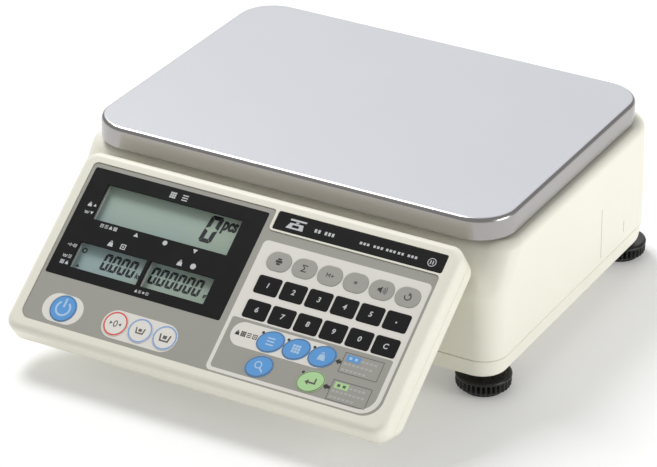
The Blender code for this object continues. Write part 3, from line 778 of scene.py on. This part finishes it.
def feet():
    """A knob with a smooth skirt over a ribbed grip, on its threaded stud, and a rubber pad below."""
    for name, place in foot_places():
        _, radius, low, high = footprint(f"foot_knob_{name}")
        steps = RIBS * 8
        ribbed = ((2.2, KNOB_TOP, 0), (0.9, 11.8, 0), (0.2, 11.2, 0), (0.0, 10.6, 0), (0.0, 10.1, 0),
                  (0.2, 9.7, 0), (0.25, 9.2, 1), (0.25, 4.4, 1), (0.7, 3.3, 1), (1.6, 2.6, 0.7),
                  (3.2, low.z, 0))
        loops = []
        for inset, z, depth in ribbed:
            loop = []
            for i in range(steps):
                angle = 2 * math.pi * i / steps
                reach = radius - inset - depth * rib_depth(angle)
                loop.append((reach * math.cos(angle), reach * math.sin(angle), z))
            loops.append(loop)
        grip = loft(f"knob_{name}", loops, BLACK)
        smooth(grip, 50)
        grip.location = Vector(place) * MM
        shown(grip, "black_plastic", f"foot_knob_{name}", body=f"knob_{name}")
        root = STUD_RADIUS - 0.55
        profile = [(STUD_RADIUS - 0.8, high.z)]
        for i in range(int((high.z - KNOB_TOP) / STUD_PITCH)):
            z = high.z - 0.6 - STUD_PITCH * i
            profile += [(STUD_RADIUS, z), (STUD_RADIUS, z - 0.2), (root, z - 0.55), (root, z - 0.75)]
        profile.append((STUD_RADIUS, KNOB_TOP))
        stud = turned(f"stud_{name}", profile, place, ZINC, 32)
        shown(stud, "black_plastic", body=f"knob_{name}")
        _, reach, _, pad_high = footprint(f"foot_pad_{name}")
        sole = [(reach - 0.5, pad_high.z), (reach, 1.2), (reach, 0.6), (reach - 0.5, 0.1),
                (reach - 0.7, 0.0)]
        shown(turned(f"pad_{name}", sole, place, RUBBER), "rubber", f"foot_pad_{name}", body=f"pad_{name}")


# ---- console shells --------------------------------------------------------
def console_outline(inset, low=CONSOLE_LOW):
    half = CONSOLE_HALF - inset
    return rounded_box(-half, half, low + inset, CONSOLE_HIGH - inset, max(CONSOLE_CORNER - inset, 1.0), 12)


def film_outline(grow):
    """The grey film's L shape, anticlockwise, with its notch at the top right for the name plate."""
    left, right, top, bottom = -128.1, 128.1, -7.0, -122.0
    notch_x, notch_y = 6.8, -21.4
    outline = arc((right - 12, bottom + 12), 12 + grow, -90, 0, 12)
    outline += arc((right - 3, notch_y - 3), 3 + grow, 0, 90, 6)
    outline += arc((notch_x + 3, notch_y + 3), 3 - grow, 270, 180, 6)
    outline += arc((notch_x - 2, top - 2), 2 + grow, 0, 90, 6)
    outline += arc((left + 3, top - 3), 3 + grow, 90, 180, 6)
    outline += arc((left + 7, bottom + 7), 7 + grow, 180, 270, 8)
    return outline


def box_outline(box, radii, steps=8):
    left, right, low, high = box
    return lambda grow: rounded_box(left - grow, right + grow, low - grow, high + grow, radii, steps)


def console_front():
    loops = []
    for x, y in arc((CONSOLE_EDGE, -CONSOLE_EDGE), CONSOLE_EDGE, 90, 180, 10):
        loops.append(at(console_outline(x), y))
    rim = CONSOLE_PARTING + 0.1
    loops += [at(console_outline(0), rim + 0.6), at(console_outline(0.6), rim)]
    loops += [at(console_outline(WALL), rim), at(console_outline(WALL), SHELL_FLOOR)]
    case = loft("console_front", loops, CREAM)
    cutters = [
        prism("film_recess", film_outline(0.35), RECESS, 4),
        prism("plate_recess", box_outline(PLATE, 1.5)(0.3), -1.5, 4),
        prism("display_hole", rounded_box(-121.5, -1.0, -85.0, -14.0, 3.0), -10, 3),
        prism("keypad_hole", rounded_box(13.0, 124.0, -118.7, -32.0, 3.0), -10, 3),
        prism("left_keys_hole", rounded_box(-112.5, -15.5, -119.6, -99.0, 3.0), -10, 3),
    ]
    on_face(carved(case, cutters), "cream_plastic", "console_front_case")


def neck():
    """A wedge from inside the rear shell's back wall to the base's front wall, in the frame's axes."""
    back = CASE_FRONT - 0.4
    depth = CONSOLE_BACK + 1.0
    side = [(back, NECK_LOW), (back, NECK_HIGH - 3.0)]
    for z in (NECK_HIGH, NECK_LOW):
        down = (CONSOLE_Z + depth * math.cos(TILT) - z) / math.sin(TILT)
        side.append((CONSOLE_Y - depth * math.sin(TILT) - down * math.cos(TILT), z))
    return loft("neck", [[(x, y, z) for y, z in side] for x in (-NECK_HALF, NECK_HALF)])


def console_rear():
    top = CONSOLE_PARTING - GAP
    edge = 3.0
    loops = [at(console_outline(WALL, CONSOLE_BACK_LOW), CONSOLE_BACK + WALL)]
    loops += [at(console_outline(WALL), top), at(console_outline(0.6), top)]
    loops += [at(console_outline(0), top - 0.6)]
    for x, y in arc((edge, edge), edge, 180, 270, 6):
        loops.append(at(console_outline(x, CONSOLE_BACK_LOW), CONSOLE_BACK + y))
    case = loft("console_rear", loops, CREAM)
    case.matrix_world = FACE
    case = as_mesh(case)
    cutters = [block("duct_hole", (-DUCT[0], -140, DUCT[1]), (DUCT[0], -60, DUCT[2]))]
    wells = []
    for i, (x, y) in enumerate(console_screws()):
        well = turned(f"console_well_{i}", ((3.4, CONSOLE_BACK + 1.4), (3.6, CONSOLE_BACK - 3)), (x, y, 0))
        well.matrix_world = FACE @ well.matrix_world
        wells.append(well)
    case = carved(case, cutters + wells, [neck()])
    shown(case, "cream_plastic", "console_rear_case")
    for i, (x, y) in enumerate(console_screws()):
        head = screw(f"console_screw_{i}", 2.6)
        seat = Matrix.Translation(Vector((x, y, CONSOLE_BACK + 1.4)) * MM)
        head.matrix_world = FACE @ seat @ Matrix.Rotation(math.pi, 4, "X")
        shown(head, "aluminium")


def console_screws():
    return [(-118.0, -12.0), (118.0, -12.0), (-118.0, -112.0), (118.0, -112.0)]


# ---- keypad film and its prints --------------------------------------------
KEY_GROW = 0.2
SLIT = 0.1
OVAL_LEAN = math.radians(24)
GREY_NAMES = ("print", "total", "memory_plus", "star", "sound", "reset")
BLACK_NAMES = ("1", "2", "3", "4", "5", "point", "6", "7", "8", "9", "0", "clear")
OVALS = {"unit_input": KEY_BLUE, "sample_input": KEY_BLUE, "unit_weight": KEY_BLUE, "lookup": KEY_BLUE,
         "enter": KEY_GREEN}
BLUE_ROW = ["unit_input", "sample_input", "unit_weight"]
ROUNDS = {"power": KEY_BLUE, "zero": KEY_LIGHT, "tare_set": KEY_LIGHT, "tare": KEY_LIGHT}


def key_middle(name):
    """The key's middle on the face, from its node."""
    low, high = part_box(f"key_{name}")
    x, y, z = FACE.inverted() @ ((low + high) / 2) / MM
    return (x, y)


def key_outline(name):
    """The key's outline as a function of how much it grows."""
    x, y = key_middle(name)
    if name in OVALS:
        return lambda grow: ellipse((x, y), (18.4, 14.0), OVAL_LEAN, 64, grow)
    if name in ROUNDS:
        size = 18.2 if name == "power" else 16.8
        return lambda grow: ellipse((x, y), (size, size), 0.0, 64, grow)
    half_x, half_y, corner, steps = (8.25, 6.5, 6.2, 12) if name in GREY_NAMES else (8.05, 6.1, 1.5, 6)
    return lambda grow: rounded_box(x - half_x - grow, x + half_x + grow, y - half_y - grow,
                                    y + half_y + grow, corner + grow, steps)


KEY_FINISH = {**dict.fromkeys(GREY_NAMES, KEY_GREY), **dict.fromkeys(BLACK_NAMES, KEY_BLACK), **OVALS,
              **ROUNDS}


def key_slits(names):
    """One cutter through the film for each of these keys."""
    return [prism(f"slit_{name}", key_outline(name)(KEY_GROW + SLIT), -3, 1) for name in names]


def inked(name, outlines, level, finish):
    return film(name, outlines, level, level + INK, finish)


def printed(name, outlines, finish, names=(), level=FILM, slot="overlay_grey"):
    """Ink on the film or on another face, cut away round the keys that stand in it."""
    ink = inked(name, outlines, level, finish)
    if names:
        ink = carved(ink, key_slits(names))
    on_face(ink, slot)


def keypad_film():
    outlines = [film_outline(0.1), box_outline(WINDOW, 1.5)(0.15)]
    sheet = film("film_sheet", outlines, FILM_BACK, FILM, FILM_GREY)
    on_face(carved(sheet, key_slits(KEY_FINISH)), "overlay_grey", "keypad_overlay")
    panel = [box_outline(LIGHT_PANEL, (12.0, 3.5, 3.5, 3.5))(0)]
    panel.append(box_outline(DARK_PANEL, (10.0, 1.5, 1.5, 2.5))(0))
    printed("light_panel", panel, FILM_LIGHT, GREY_NAMES + BLACK_NAMES)
    printed("label_pill", [box_outline(LABEL_PILL, 8.0)(0)], FILM_LIGHT, BLUE_ROW)
    printed("power_pill", [box_outline(POWER_PILL, 9.9)(0)], FILM_LIGHT, ["power"])
    printed("ring_pill", [box_outline(RING_PILL, 9.6)(0)], FILM_LIGHT, ["zero", "tare_set", "tare"])


def film_marks():
    """Dots, arrows and framed notes beside the blue and green keys."""
    dark = [disc(x, y, 1.0, 16) for x, y in ((34.8, -88.0), (52.8, -88.0), (71.0, -88.0), (71.0, -105.5))]
    for y, reach in ((-92.7, 87.3), (-110.3, 86.6)):
        head = reach + 2.6
        dark.append([(reach, y), (head, y + 2.0), (head, y + 1.0), (91.4, y + 1.0), (91.4, y - 1.0),
                     (head, y - 1.0), (head, y - 2.0)])
    printed("film_marks_dark", dark, INK_DARK, [*BLUE_ROW, "enter"], FILM + INK)
    frames = []
    for box in INFO_BOXES:
        frames += [box_outline(box, 0.4)(0), box_outline(box, 0.3)(-0.35)]
    printed("film_marks_frames", frames, INK_BROWN)
    dark = []
    for i, kind in enumerate(("weight", "grid", "list", "box")):
        dark += moved(symbol(kind), 18.4 + 4.1 * i, -92.5, 0.42)
    printed("film_marks_label", dark, INK_DARK, level=FILM + INK)
    pale = []
    for (left, right, low, high), rows in zip(INFO_BOXES, ((4, 7, 6), (4, 8, 6))):
        for row, count in enumerate(rows):
            first = left + 2.6 if row else left + 13.2
            pale += [bar(first + 2.9 * i, high - 3.4 - 4.0 * row, 2.1, 1.5) for i in range(count)]
    printed("film_marks_pale", pale, INK_PALE)
    tabs = (("tab_blue", KEY_BLUE, INK_PALE_BLUE), ("tab_green", KEY_GREEN, INK_BROWN))
    for (name, finish, ink), (left, right, low, high) in zip(tabs, INFO_BOXES):
        printed(name, [rounded_box(left + 2.0, left + 11.4, high - 5.4, high - 1.2, 0.3)], finish)
        marks = [bar(left + x, high - 3.3, 2.0, 1.8) for x in (4.8, 8.6)]
        printed(f"{name}_marks", marks, ink, level=FILM + INK)


# ---- symbols ---------------------------------------------------------------
def symbol(kind):
    """A plain pictogram as outlines, about 8 across, centred on the origin."""
    return {
        "weight": [[(-3.6, -3.6), (3.6, -3.6), (2.5, 1.4), (-2.5, 1.4)], *ring(0, 2.6, 1.5, 0.75, 20)],
        "grid": [bar(x, y, 2.4, 2.4) for x in (-2.9, 0, 2.9) for y in (-2.9, 0, 2.9)],
        "list": [bar(0, y, 7.4, 1.3) for y in (-3, 0, 3)],
        "box": [bar(0, 0, 7.4, 7.4), bar(0, 0, 5.0, 5.0), bar(0, 0, 2.2, 2.2)],
        "tray": [stroke([(-4.2, 2.6), (-3.2, -2.6), (3.2, -2.6), (4.2, 2.6)], 1.2), bar(0, 0.4, 3.2, 2.6)],
        "printer": [bar(0, 3.1, 4.6, 2.2), bar(0, 0, 8.2, 3.0), bar(0, -3.1, 4.6, 2.2)],
        "sigma": [stroke([(3.0, 3.2), (3.0, 4.0), (-3.2, 4.0), (0.6, 0.0), (-3.2, -4.0), (3.0, -4.0),
                          (3.0, -3.2)], 1.2)],
        "speaker": [[(-4.2, -1.5), (-2.4, -1.5), (0.4, -3.8), (0.4, 3.8), (-2.4, 1.5), (-4.2, 1.5)],
                    *[stroke(arc((-1.0, 0), r, -38, 38, 8), 0.6) for r in (3.6, 5.2, 6.8)]],
        "reset": [stroke(arc((0, 0), 3.4, -200, 60, 20), 1.1), [(0.2, 4.8), (0.2, 1.4), (3.6, 3.3)]],
        "power": [stroke(arc((0, 0), 4.2, 125, 415, 28), 1.2), bar(0, 3.4, 1.2, 5.4)],
        "search": [*ring(-1.0, 1.0, 3.2, 1.0, 28), stroke([(1.2, -1.2), (4.2, -4.2)], 1.3)],
        "enter": [[(-4.4, -1.0), (-1.6, 1.2), (-1.6, -0.35), (2.9, -0.35), (2.9, 3.0), (4.1, 3.0),
                   (4.1, -1.65), (-1.6, -1.65), (-1.6, -3.2)]],
        "zero": [*[ellipse((0, 0), (4.0, 6.4), 0.0, 28, grow) for grow in (0, -0.9)],
                 [(-5.6, 1.6), (-2.9, 0), (-5.6, -1.6)], [(5.6, -1.6), (2.9, 0), (5.6, 1.6)]],
        "memory": [stroke([(-4.4, -2.4), (-4.4, 2.4), (-2.2, -0.4), (0.0, 2.4), (0.0, -2.4)], 0.9),
                   [(1.6, 0.5), (2.9, 0.5), (2.9, 1.8), (3.8, 1.8), (3.8, 0.5), (5.1, 0.5), (5.1, -0.4),
                    (3.8, -0.4), (3.8, -1.7), (2.9, -1.7), (2.9, -0.4), (1.6, -0.4)]],
        "star": [bar(0, 0, 1.3, 5.0)] + [bar(x, y, 1.5, 1.3) for x in (-1.9, 1.9) for y in (-1.1, 1.1)],
        "scale": [bar(0, 3.0, 12.0, 1.3), bar(0, 1.5, 2.2, 0.9),
                  [(-6.4, -3.6), (6.4, -3.6), (4.9, 0.7), (-4.9, 0.7)], bar(0, -1.5, 5.0, 1.9)],
        "high": [[(-3.4, -2.6), (3.4, -2.6), (0, 3.2)]],
        "low": [[(-3.4, 2.6), (0, -3.2), (3.4, 2.6)]],
        "dot": [disc(0, 0, 3.0, 20)],
    }[kind]


# ---- keys ------------------------------------------------------------------
SYMBOLS = {"print": ("printer", 0.55, INK_DARK), "total": ("sigma", 0.52, INK_DARK),
           "memory_plus": ("memory", 0.52, INK_DARK), "star": ("star", 0.42, INK_DARK),
           "sound": ("speaker", 0.62, INK_DARK), "reset": ("reset", 0.62, INK_DARK),
           "power": ("power", 1.15, INK_PALE_BLUE), "zero": ("zero", 0.72, INK_BROWN),
           "tare_set": ("tray", 0.72, INK_BROWN), "tare": ("tray", 0.86, INK_BROWN),
           "unit_input": ("list", 0.72, INK_PALE_BLUE), "sample_input": ("grid", 0.68, INK_PALE_BLUE),
           "unit_weight": ("weight", 0.74, INK_PALE_BLUE), "lookup": ("search", 0.80, INK_PALE_BLUE),
           "enter": ("enter", 0.86, INK_BROWN)}
EDGES = {"zero": (INK_RED, 1.0), "tare_set": (INK_BLUE, 1.0), "tare": (INK_BLUE, 1.0),
         **dict.fromkeys((*OVALS, "power"), (INK_BROWN, 0.4))}


def legend(name):
    x, y = key_middle(name)
    if name in SYMBOLS:
        kind, scale, finish = SYMBOLS[name]
        return inked(f"legend_{name}", moved(symbol(kind), x, y, scale), KEY_FACE, finish)
    if name == "point":
        return inked(f"legend_{name}", [disc(x, y - 0.6, 0.6, 16)], KEY_FACE, INK_WHITE)
    text = "C" if name == "clear" else name
    return lettering(f"legend_{name}", text, x, y, 4.9, KEY_FACE, INK_WHITE, 0.12, 0.024)


def keys():
    """A cap for each key, with its legend, and a printed edge on the coloured ones."""
    for name in KEY_FINISH:
        node = f"key_{name}"
        outline = key_outline(name)
        cap = plate(f"cap_{name}", lambda grow: outline(grow + KEY_GROW), -7.2, KEY_FACE, 0.35,
                    KEY_FINISH[name])
        on_face(cap, slot_of(node), node, body=node)
        inks = [legend(name)]
        if name in EDGES:
            finish, width = EDGES[name]
            rim = [outline(-0.2), outline(-0.2 - width)]
            inks.append(inked(f"edge_{name}", rim, KEY_FACE, finish))
        on_face(joined(f"print_{name}", inks), "key_light", body=node)


def slot_of(node):
    return next(s["material_slot"] for s in frame["record"]["subparts"] if s["node"] == node)


# ---- displays --------------------------------------------------------------
def digit(x, y, width, height, lean, thick):
    """A zero in seven-segment form: six mitred bars with fine gaps between them, centred on x and y."""
    w, h, gap, cut = width / 2, height / 2, 0.12, thick * 0.5
    side = [(w, gap), (w, h - cut), (w - cut / 2, h - cut / 2 - gap), (w - thick, h - thick - gap),
            (w - thick, gap + thick / 2)]
    end = [(cut - w, h), (w - cut, h), (w - cut / 2 - gap, h - cut / 2), (w - thick - gap, h - thick),
           (thick + gap - w, h - thick), (cut / 2 + gap - w, h - cut / 2)]
    outlines = [[(i * px, j * py) for px, py in side] for i in (-1, 1) for j in (-1, 1)]
    outlines += [[(px, j * py) for px, py in end] for j in (-1, 1)]
    return [[(x + px + lean * py, y + py) for px, py in outline] for outline in outlines]


def displays():
    window = [box_outline(WINDOW, 1.3)(0)]
    window += [box_outline(box, 0.5, 4)(0) for box in (COUNT_OPENING, WEIGHT_OPENING, UNIT_OPENING)]
    pane = film("window_pane", window, FILM_BACK, WINDOW_FACE, FILM_BLACK)
    on_face(pane, "window_black", "display_window")
    plate_film = plate("plate_film", box_outline(PLATE, 1.2), -1.2, PLATE_FACE, 0.15, FILM_BLACK, 2)
    on_face(plate_film, "window_black", "name_plate")
    marks = moved(symbol("scale"), 24.0, -13.4, 0.95, 0.15) + plate_dashes()
    printed("plate_marks", marks, INK_WHITE, level=PLATE_FACE)
    panels = {"count_lcd": (-116.5, -8.5, -50.0, -15.5, -112.2, -10.0),
              "weight_lcd": (-116.5, -61.0, -84.0, -58.5, -112.2, -61.6),
              "unit_weight_lcd": (-60.5, -8.5, -84.0, -58.5, -59.6, -10.0)}
    for node, (left, right, low, high, inner_left, inner_right) in panels.items():
        outer = box_outline((left, right, low, high), 0.5, 3)
        on_face(plate(f"{node}_glass", outer, -7.7, LCD_FACE, 0.2, LCD, 2), "lcd_glass", node)
        inner = rounded_box(inner_left, inner_right, low + 3.2, high - 2.8, 0.5, 3)
        bezel = film(f"{node}_bezel", [outer(0), inner], LCD_FACE, LCD_FACE + 1.3, BEZEL)
        on_face(bezel, "lcd_glass")


def plate_dashes():
    """Small generic marks in the places of printed words, and a ring with two bars."""
    words = ((38.0, 2, 2.4), (45.2, 3, 2.4), (70.0, 3, 1.7), (79.6, 3, 1.7), (88.4, 3, 1.7),
             (96.6, 2, 1.7), (103.4, 3, 1.7))
    marks = []
    for first, count, height in words:
        marks += [bar(first + 2.5 * i, -13.8, 1.6, height) for i in range(count)]
    marks += ring(119.5, -14.0, 2.9, 0.5)
    return marks + [bar(119.5 + x, -14.0, 0.7, 2.6) for x in (-0.8, 0.8)]


def segments():
    """What the displays read: zero pieces, zero weight and zero unit weight."""
    inks = [inked("digits_count", digit(-32.3, -29.3, 9.2, 19.6, 0.12, 2.9), LCD_FACE, SEGMENT)]
    inks.append(lettering("unit_count", "pcs", -20.9, -23.6, 12.0, LCD_FACE, SEGMENT, 0.15, 0.045, 0.66))
    shapes = []
    for x in (-90.6, -84.2, -77.8, -71.4, -55.0, -48.7, -42.2, -35.8, -29.4, -22.9):
        shapes += digit(x, -69.8, 5.4, 12.0, 0.08, 1.8)
    shapes += [disc(-87.6, -75.3, 0.55, 12), disc(-51.9, -75.3, 0.55, 12)]
    shapes += ring(-108.8, -66.0, 1.9, 0.8, 24)
    shapes.append([(-110.2, -77.9), (-107.4, -77.9), (-108.8, -76.2)])
    inks.append(inked("digits_small", shapes, LCD_FACE, SEGMENT))
    inks.append(lettering("unit_weight", "kg", -65.6, -73.4, 5.2, LCD_FACE, SEGMENT, 0.1, 0.035, 0.85))
    inks.append(lettering("unit_unit_weight", "g", -16.4, -73.8, 5.4, LCD_FACE, SEGMENT, 0.1, 0.035))
    on_face(joined("lcd_segments", inks), "lcd_glass")


def window_marks():
    """Pale pictograms printed round the display openings."""
    marks = []
    for kind, x, y, scale in (
            ("grid", -65.4, -15.4, 0.52), ("list", -56.6, -15.4, 0.56), ("weight", -117.6, -36.2, 0.42),
            ("high", -113.8, -36.2, 0.34), ("tray", -117.4, -41.8, 0.34), ("low", -113.8, -41.8, 0.34),
            ("high", -77.0, -48.4, 0.50), ("dot", -55.6, -48.4, 0.56), ("low", -33.4, -48.4, 0.50),
            ("weight", -91.0, -58.6, 0.54), ("box", -81.8, -58.6, 0.50), ("weight", -39.6, -58.6, 0.54),
            ("dot", -30.0, -58.6, 0.66), ("zero", -117.4, -66.4, 0.34), ("box", -114.0, -66.4, 0.30),
            ("tray", -117.6, -74.4, 0.34), ("list", -114.0, -74.4, 0.32), ("grid", -117.6, -79.0, 0.34),
            ("weight", -114.0, -79.0, 0.32)):
        marks += moved(symbol(kind), x, y, scale)
    for i, kind in enumerate(("box", "list", "weight", "grid")):
        marks += moved(symbol(kind), -102.6 + 3.3 * i, -48.4, 0.32)
    for i, kind in enumerate(("weight", "list", "dot", "box")):
        marks += moved(symbol(kind), -59.4 + 2.7 * i, -84.7, 0.26)
    printed("window_marks", marks, INK_WHITE, level=WINDOW_FACE, slot="window_black")


# ---- camera, light and floor -----------------------------------------------
def camera():
    """Right of the scale and above it, aimed a little in front of the pan."""
    azimuth, elevation, roll = math.radians(28.855), math.radians(28.02), math.radians(0.497)
    distance, aside, lift = 2.122378, -0.027463, -0.084964
    target = Vector((PAN_MIDDLE.x, PAN_MIDDLE.y, PAN_HIGH.z)) * MM
    back = Vector((math.sin(azimuth) * math.cos(elevation), -math.cos(azimuth) * math.cos(elevation),
                   math.sin(elevation)))
    level = Vector((math.cos(azimuth), math.sin(azimuth), 0))
    rise = back.cross(level)
    right = level * math.cos(roll) + rise * math.sin(roll)
    up = rise * math.cos(roll) - level * math.sin(roll)
    data = bpy.data.cameras.new("camera")
    data.sensor_width = 36.0
    data.lens = 176.58
    obj = new_object("camera", data)
    obj.matrix_world = Matrix((right, up, back)).transposed().to_4x4()
    obj.location = target + back * distance + right * aside + up * lift
    bpy.context.scene.camera = obj


def area_light(name, place, size, power):
    """A rectangular light, aimed at the middle of the scale."""
    data = bpy.data.lights.new(name, "AREA")
    data.shape = "RECTANGLE"
    data.size, data.size_y = size
    data.energy = power
    obj = new_object(name, data)
    obj.location = place
    obj.rotation_euler = (Vector(place) - Vector((0, 0, 0.05))).to_track_quat("Z", "Y").to_euler()


def studio():
    world = bpy.data.worlds.new("studio")
    world.use_nodes = True
    backdrop = world.node_tree.nodes["Background"]
    backdrop.inputs["Color"].default_value = (1.0, 1.0, 1.0, 1.0)
    backdrop.inputs["Strength"].default_value = 0.41
    bpy.context.scene.world = world
    bpy.context.scene.view_settings.view_transform = "Standard"
    area_light("key", (-0.95, 0.4, 1.75), (0.8, 0.8), 25)
    area_light("side", (2.2, 0.1, 0.6), (1.2, 0.8), 19)
    area_light("pan_panel", (-1.07, 2.0, 1.35), (2.6, 2.0), 10.5)
    paper = plastic("floor_paper", (238, 238, 238), 0.9, 0.002, 300.0, 0.00002, 0.1)
    glow = paper.node_tree.nodes["Principled BSDF"]
    glow.inputs["Emission Color"].default_value = (1.0, 1.0, 1.0, 1.0)
    glow.inputs["Emission Strength"].default_value = 0.16
    film("floor", [rounded_box(-6000, 6000, -6000, 6000, 100)], -5, -0.2, paper)


# ---- the scale -------------------------------------------------------------
def main():
    camera()
    studio()
    weighing_pan()
    pan_carrier()
    inner_parts()
    upper_case()
    side_cover()
    lower_case()
    hatch()
    rear_socket()
    bubble_level()
    feet()
    console_front()
    console_rear()
    keypad_film()
    film_marks()
    keys()
    displays()
    segments()
    window_marks()


main()
